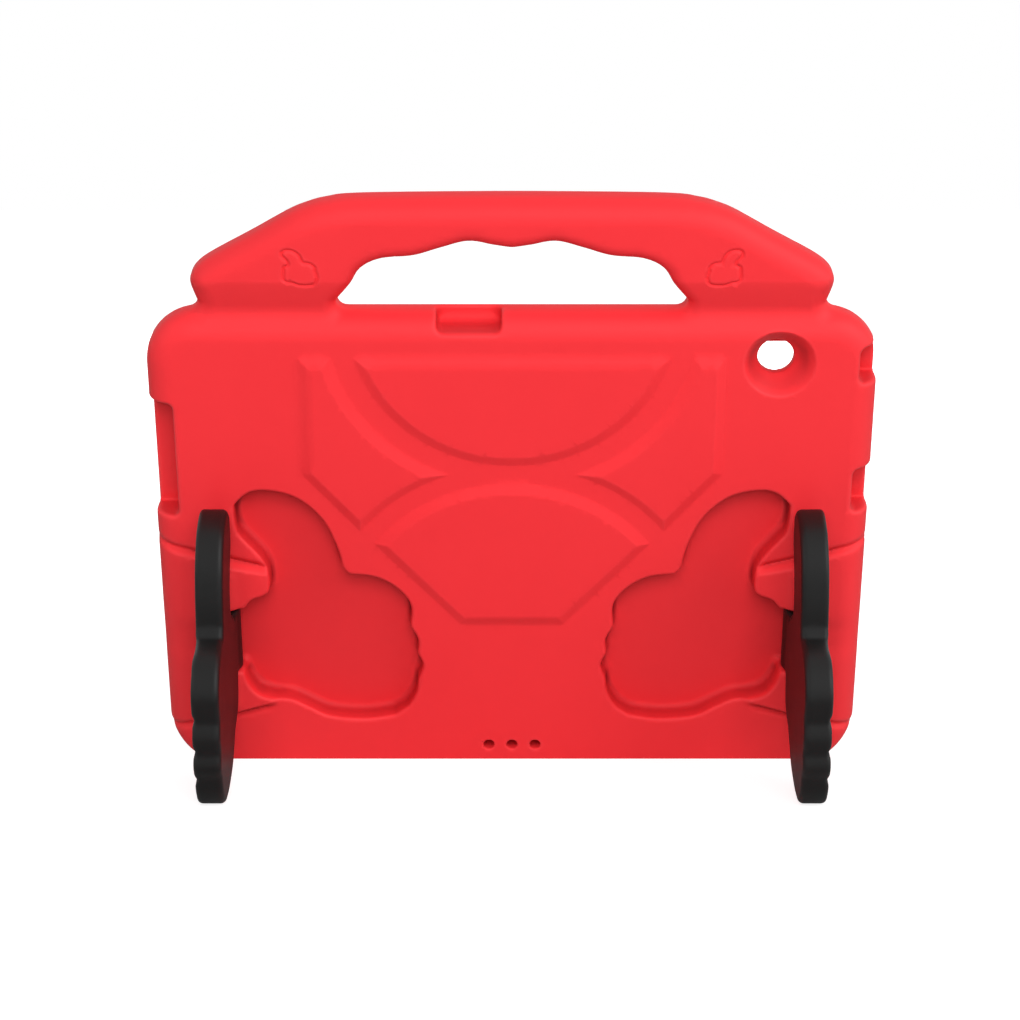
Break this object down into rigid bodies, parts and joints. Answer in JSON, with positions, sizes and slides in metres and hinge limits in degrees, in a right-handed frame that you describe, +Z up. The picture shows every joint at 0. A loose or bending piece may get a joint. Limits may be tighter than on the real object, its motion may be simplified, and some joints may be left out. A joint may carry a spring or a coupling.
{
  "type": "tablet case",
  "caption": "Foam tablet case with a carry handle, finger-grip opening, raised back panels and fold-out hand-shaped stand legs.",
  "frame": {"origin": "on the surface that the case stands on, under the middle of its bounding box", "axes": "+X to the right seen from behind, +Y out of the screen side, +Z up; the case leans back on its open legs"},
  "size_m": [0.273, 0.108, 0.2278],
  "materials": {
    "red_foam": "satin moulded foam skin",
    "black_foam": "satin moulded foam skin",
    "steel_pin": "bright drawn",
    "white_nylon": "matte moulded"
  },
  "bodies": {
    "case": {"shell": "red_foam", "left_hinge_pin": "steel_pin", "right_hinge_pin": "steel_pin", "left_upper_bush": "white_nylon", "left_lower_bush": "white_nylon", "right_upper_bush": "white_nylon", "right_lower_bush": "white_nylon"},
    "left_stand": {"left_leg": "black_foam", "left_leg_sleeve": "white_nylon"},
    "right_stand": {"right_leg": "black_foam", "right_leg_sleeve": "white_nylon"}
  },
  "joints": [
    {"name": "left_stand_fold", "type": "hinge", "parent": "case", "child": "left_stand", "pos_m": [-0.113, 0.01957, 0.05352], "axis": [0, -0.3148, 0.9492], "range_deg": [0, 90]},
    {"name": "right_stand_fold", "type": "hinge", "parent": "case", "child": "right_stand", "pos_m": [0.113, 0.01957, 0.05352], "axis": [0, 0.3148, -0.9492], "range_deg": [0, 90]}
  ]
}
